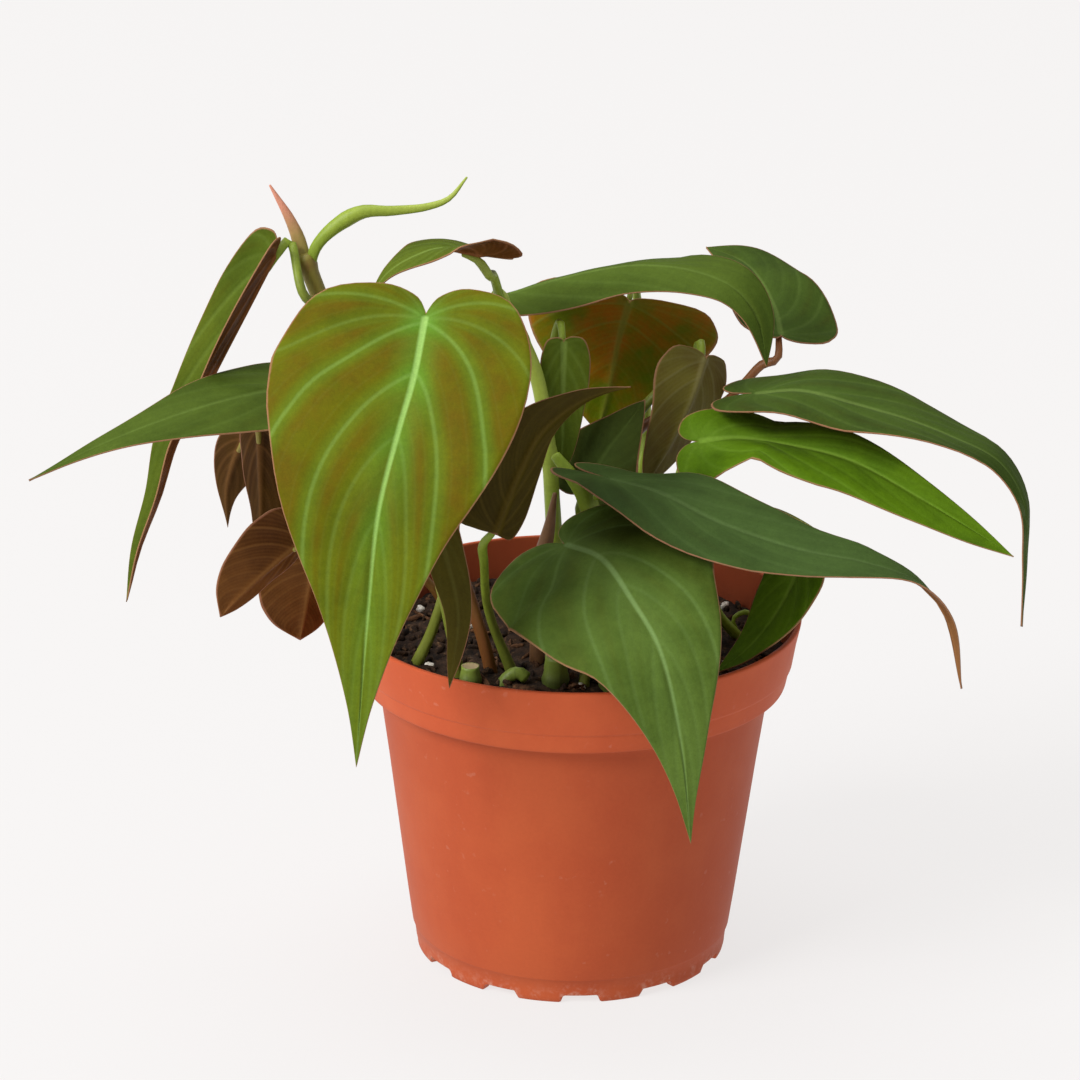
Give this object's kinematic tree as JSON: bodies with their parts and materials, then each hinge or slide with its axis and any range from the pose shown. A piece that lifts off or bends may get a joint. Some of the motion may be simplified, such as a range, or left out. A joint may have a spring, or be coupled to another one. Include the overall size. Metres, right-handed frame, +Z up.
{
  "type": "potted plant",
  "caption": "Bushy young heart-leaf climbing plant with velvety drip-tipped leaves, growing in a round tapered nursery pot filled with soil.",
  "frame": {"origin": "pot axis at ground level, on the flat pad under the middle of the pot, level with the pot's feet", "axes": "+Z up along the pot axis, +X to the right along the plant's widest spread as seen from its front, -Y towards the front"},
  "size_m": [0.2282, 0.1385, 0.1932],
  "materials": {
    "bright_green": "young bright green leaf",
    "bronze_leaf": "bronze-brown leaf back",
    "brown_stalk": "reddish brown stalk",
    "deep_green": "velvety dark green leaf",
    "green_stalk": "smooth green stalk",
    "pink_sheath": "thin pink bud sheath",
    "soil": "damp dark peat potting mix",
    "terracotta": "moulded matt terracotta-coloured plastic",
    "velvet_green": "velvety mid-green leaf with a bronze cast"
  },
  "bodies": {
    "root": {"brown_sheath": "brown_stalk", "heart_sheath": "green_stalk", "leaf_centre_dark": "bronze_leaf", "leaf_centre_deep": "deep_green", "leaf_centre_green": "velvet_green", "leaf_centre_grey": "bronze_leaf", "leaf_centre_tip": "deep_green", "leaf_front_heart": "velvet_green", "leaf_left_back_hang": "bronze_leaf", "leaf_left_blunt": "bronze_leaf", "leaf_left_curl": "bronze_leaf", "leaf_left_folded": "velvet_green", "leaf_left_long": "deep_green", "leaf_left_lowest": "bronze_leaf", "leaf_right_bright": "bright_green", "leaf_right_low": "deep_green", "leaf_right_top": "deep_green", "leaf_rim_heart": "velvet_green", "leaf_rim_right": "velvet_green", "leaf_top_centre": "velvet_green", "leaf_top_long": "deep_green", "leaf_top_round": "deep_green", "leaf_top_under": "bronze_leaf", "petiole_centre_dark": "green_stalk", "petiole_centre_deep": "green_stalk", "petiole_centre_green": "green_stalk", "petiole_centre_grey": "green_stalk", "petiole_centre_tip": "green_stalk", "petiole_front_heart": "green_stalk", "petiole_left_back_hang": "green_stalk", "petiole_left_blunt": "green_stalk", "petiole_left_curl": "green_stalk", "petiole_left_folded": "green_stalk", "petiole_left_long": "green_stalk", "petiole_left_lowest": "green_stalk", "petiole_right_bright": "green_stalk", "petiole_right_low": "green_stalk", "petiole_right_top": "green_stalk", "petiole_rim_heart": "green_stalk", "petiole_rim_right": "green_stalk", "petiole_top_centre": "green_stalk", "petiole_top_long": "green_stalk", "petiole_top_round": "green_stalk", "petiole_top_under": "green_stalk", "pot": "terracotta", "ring_shoot": "green_stalk", "rolled_leaf": "green_stalk", "soil": "soil", "stub_behind": "green_stalk", "stub_curled": "green_stalk", "stub_left": "green_stalk", "stub_middle": "green_stalk", "stub_right": "green_stalk", "tip_sheath": "pink_sheath", "vine_back": "brown_stalk", "vine_centre": "green_stalk", "vine_left": "brown_stalk", "vine_right": "brown_stalk"}
  },
  "joints": []
}
